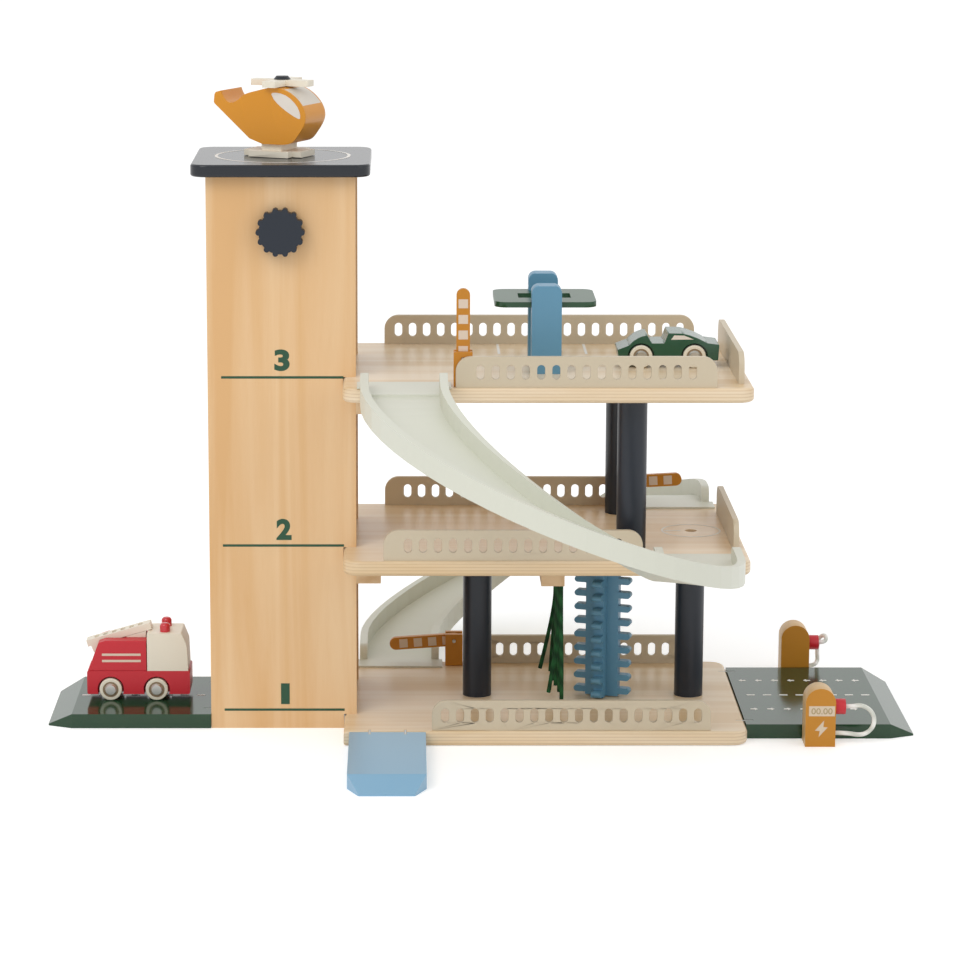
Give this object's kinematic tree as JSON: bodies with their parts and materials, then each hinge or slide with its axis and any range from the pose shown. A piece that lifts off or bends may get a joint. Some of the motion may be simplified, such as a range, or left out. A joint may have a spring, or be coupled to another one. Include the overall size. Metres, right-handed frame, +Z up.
{
  "type": "toy parking garage with lift",
  "caption": "Wooden toy parking garage with a crank lift tower, open plywood decks on columns, curved slides, car wash brush, road boards, chargers and small vehicles.",
  "frame": {"origin": "centre of the base deck's underside", "axes": "+X along the longest extent, from the lift tower towards the right road board; -Y towards the front, where the crank knob is; +Z up"},
  "size_m": [0.7116, 0.6208, 0.532],
  "materials": {
    "birch_ply": "clear satin lacquer",
    "pine_panel": "clear satin lacquer",
    "navy_wood": "satin paint",
    "greige_wood": "satin paint",
    "pale_green_wood": "satin paint",
    "blue_wood": "satin paint",
    "green_wood": "satin paint",
    "mustard_wood": "satin paint",
    "red_wood": "satin paint",
    "cream_wood": "satin paint",
    "plain_wood": "sanded",
    "steel": "bright zinc",
    "white_cord": "woven cord",
    "green_cord": "woven strand"
  },
  "bodies": {
    "garage": {"base_deck": "birch_ply", "middle_deck": "birch_ply", "top_deck": "birch_ply", "tower_front_panel": "pine_panel", "tower_back_panel": "pine_panel", "tower_left_panel": "pine_panel", "tower_roof": "navy_wood", "deck_battens": "plain_wood", "columns": "navy_wood", "base_fences": "greige_wood", "middle_fences": "greige_wood", "top_fences": "greige_wood", "front_slide": "pale_green_wood", "back_slide": "pale_green_wood", "barrier_posts": "mustard_wood", "barrier_pins": "steel", "hoist_posts": "blue_wood", "link_plates": "steel", "wash_strands": "green_cord", "lift_cord": "white_cord"},
    "lift": {"lift_floor": "plain_wood", "lift_cabin": "plain_wood"},
    "crank": {"crank_knob": "navy_wood", "crank_axle": "plain_wood", "cord_spool": "plain_wood"},
    "base_barrier": {"base_barrier_arm": "mustard_wood"},
    "middle_barrier": {"middle_barrier_arm": "mustard_wood"},
    "top_barrier": {"top_barrier_arm": "mustard_wood"},
    "hoist": {"hoist_plate": "green_wood"},
    "brush": {"brush_board_a": "blue_wood", "brush_board_b": "blue_wood", "brush_pins": "plain_wood"},
    "left_road_board": {"left_road": "green_wood"},
    "right_road_board": {"right_road": "green_wood"},
    "ramp_board": {"entry_ramp": "blue_wood"},
    "front_charger_block": {"front_charger": "mustard_wood"},
    "back_charger_block": {"back_charger": "mustard_wood"},
    "front_plug": {"front_charger_plug": "red_wood", "front_charger_cord": "white_cord"},
    "back_plug": {"back_charger_plug": "red_wood", "back_charger_cord": "white_cord"},
    "helicopter": {"helicopter_body": "mustard_wood", "helicopter_skid": "cream_wood", "helicopter_rotor_pin": "navy_wood"},
    "rotor": {"helicopter_rotor": "cream_wood"},
    "sports_car": {"sports_car_body": "green_wood"},
    "sports_car_front_wheel_set": {"sports_car_front_wheels": "cream_wood", "sports_car_front_axle": "steel"},
    "sports_car_rear_wheel_set": {"sports_car_rear_wheels": "cream_wood", "sports_car_rear_axle": "steel"},
    "fire_truck": {"fire_truck_chassis": "red_wood", "fire_truck_tank": "red_wood", "fire_truck_cab": "cream_wood", "fire_truck_beacons": "red_wood", "fire_truck_ladder_rest": "cream_wood"},
    "fire_truck_front_wheel_set": {"fire_truck_front_wheels": "cream_wood", "fire_truck_front_axle": "steel"},
    "fire_truck_rear_wheel_set": {"fire_truck_rear_wheels": "cream_wood", "fire_truck_rear_axle": "steel"},
    "ladder": {"fire_truck_ladder": "cream_wood"}
  },
  "joints": [
    {"name": "lift_slide", "type": "slide", "parent": "garage", "child": "lift", "axis": [0, 0, 1], "range_m": [0, 0.282], "deforming": ["lift_cord"]},
    {"name": "crank_turn", "type": "hinge", "parent": "garage", "child": "crank", "pos_m": [-0.214, 0, 0.413], "axis": [0, -1, 0], "range_deg": [0, 1336]},
    {"name": "base_barrier_swing", "type": "hinge", "parent": "garage", "child": "base_barrier", "pos_m": [-0.0715, 0.105, 0.034], "axis": [0, 1, 0], "range_deg": [0, 94]},
    {"name": "middle_barrier_swing", "type": "hinge", "parent": "garage", "child": "middle_barrier", "pos_m": [0.068, 0.0988, 0.175], "axis": [0, -1, 0], "range_deg": [0, 87]},
    {"name": "top_barrier_swing", "type": "hinge", "parent": "garage", "child": "top_barrier", "pos_m": [-0.068, -0.0988, 0.316], "axis": [0, -1, 0], "range_deg": [0, 90]},
    {"name": "hoist_slide", "type": "slide", "parent": "garage", "child": "hoist", "axis": [0, 0, 1], "range_m": [-0.052, 0.012]},
    {"name": "brush_spin", "type": "hinge", "parent": "garage", "child": "brush", "pos_m": [0.052, 0, 0.0765], "axis": [0, 0, 1], "continuous": true},
    {"name": "left_road_lift", "type": "slide", "parent": "garage", "child": "left_road_board", "axis": [0, 0, 1], "range_m": [0, 0.02]},
    {"name": "right_road_lift", "type": "slide", "parent": "garage", "child": "right_road_board", "axis": [0, 0, 1], "range_m": [0, 0.02]},
    {"name": "ramp_lift", "type": "slide", "parent": "garage", "child": "ramp_board", "axis": [0, 0, 1], "range_m": [0, 0.02]},
    {"name": "front_charger_lift", "type": "slide", "parent": "garage", "child": "front_charger_block", "axis": [0, 0, 1], "range_m": [0, 0.02]},
    {"name": "back_charger_lift", "type": "slide", "parent": "garage", "child": "back_charger_block", "axis": [0, 0, 1], "range_m": [0, 0.02]},
    {"name": "front_plug_pull", "type": "slide", "parent": "front_charger_block", "child": "front_plug", "axis": [1, 0, 0], "range_m": [0, 0.006]},
    {"name": "back_plug_pull", "type": "slide", "parent": "back_charger_block", "child": "back_plug", "axis": [1, 0, 0], "range_m": [0, 0.006]},
    {"name": "helicopter_lift", "type": "slide", "parent": "garage", "child": "helicopter", "axis": [0, 0, 1], "range_m": [0, 0.03]},
    {"name": "rotor_spin", "type": "hinge", "parent": "helicopter", "child": "rotor", "pos_m": [-0.214, 0, 0.5266], "axis": [0, 0, 1], "continuous": true},
    {"name": "car_roll", "type": "slide", "parent": "garage", "child": "sports_car", "axis": [1, 0, 0], "range_m": [-0.015, 0.005]},
    {"name": "car_front_wheels_turn", "type": "hinge", "parent": "sports_car", "child": "sports_car_front_wheel_set", "pos_m": [0.0795, 0, 0.3037], "axis": [0, 1, 0], "range_deg": [-92, 31]},
    {"name": "car_rear_wheels_turn", "type": "hinge", "parent": "sports_car", "child": "sports_car_rear_wheel_set", "pos_m": [0.1233, 0, 0.3037], "axis": [0, 1, 0], "range_deg": [-92, 31]},
    {"name": "truck_roll", "type": "slide", "parent": "left_road_board", "child": "fire_truck", "axis": [1, 0, 0], "range_m": [-0.005, 0.013]},
    {"name": "truck_rear_wheels_turn", "type": "hinge", "parent": "fire_truck", "child": "fire_truck_rear_wheel_set", "pos_m": [-0.3604, 0, 0.0217], "axis": [0, 1, 0], "range_deg": [-31, 80]},
    {"name": "truck_front_wheels_turn", "type": "hinge", "parent": "fire_truck", "child": "fire_truck_front_wheel_set", "pos_m": [-0.3219, 0, 0.0217], "axis": [0, 1, 0], "range_deg": [-31, 80]},
    {"name": "ladder_raise", "type": "hinge", "parent": "fire_truck", "child": "ladder", "pos_m": [-0.3675, 0, 0.0506], "axis": [0, -1, 0], "range_deg": [0, 45]}
  ],
  "couplings": [
    {"joint": "crank_turn", "follows": "lift_slide", "rad_per_m": 82.645},
    {"joint": "car_front_wheels_turn", "follows": "car_roll", "rad_per_m": 106.38},
    {"joint": "car_rear_wheels_turn", "follows": "car_roll", "rad_per_m": 106.38},
    {"joint": "truck_rear_wheels_turn", "follows": "truck_roll", "rad_per_m": 106.38},
    {"joint": "truck_front_wheels_turn", "follows": "truck_roll", "rad_per_m": 106.38}
  ]
}
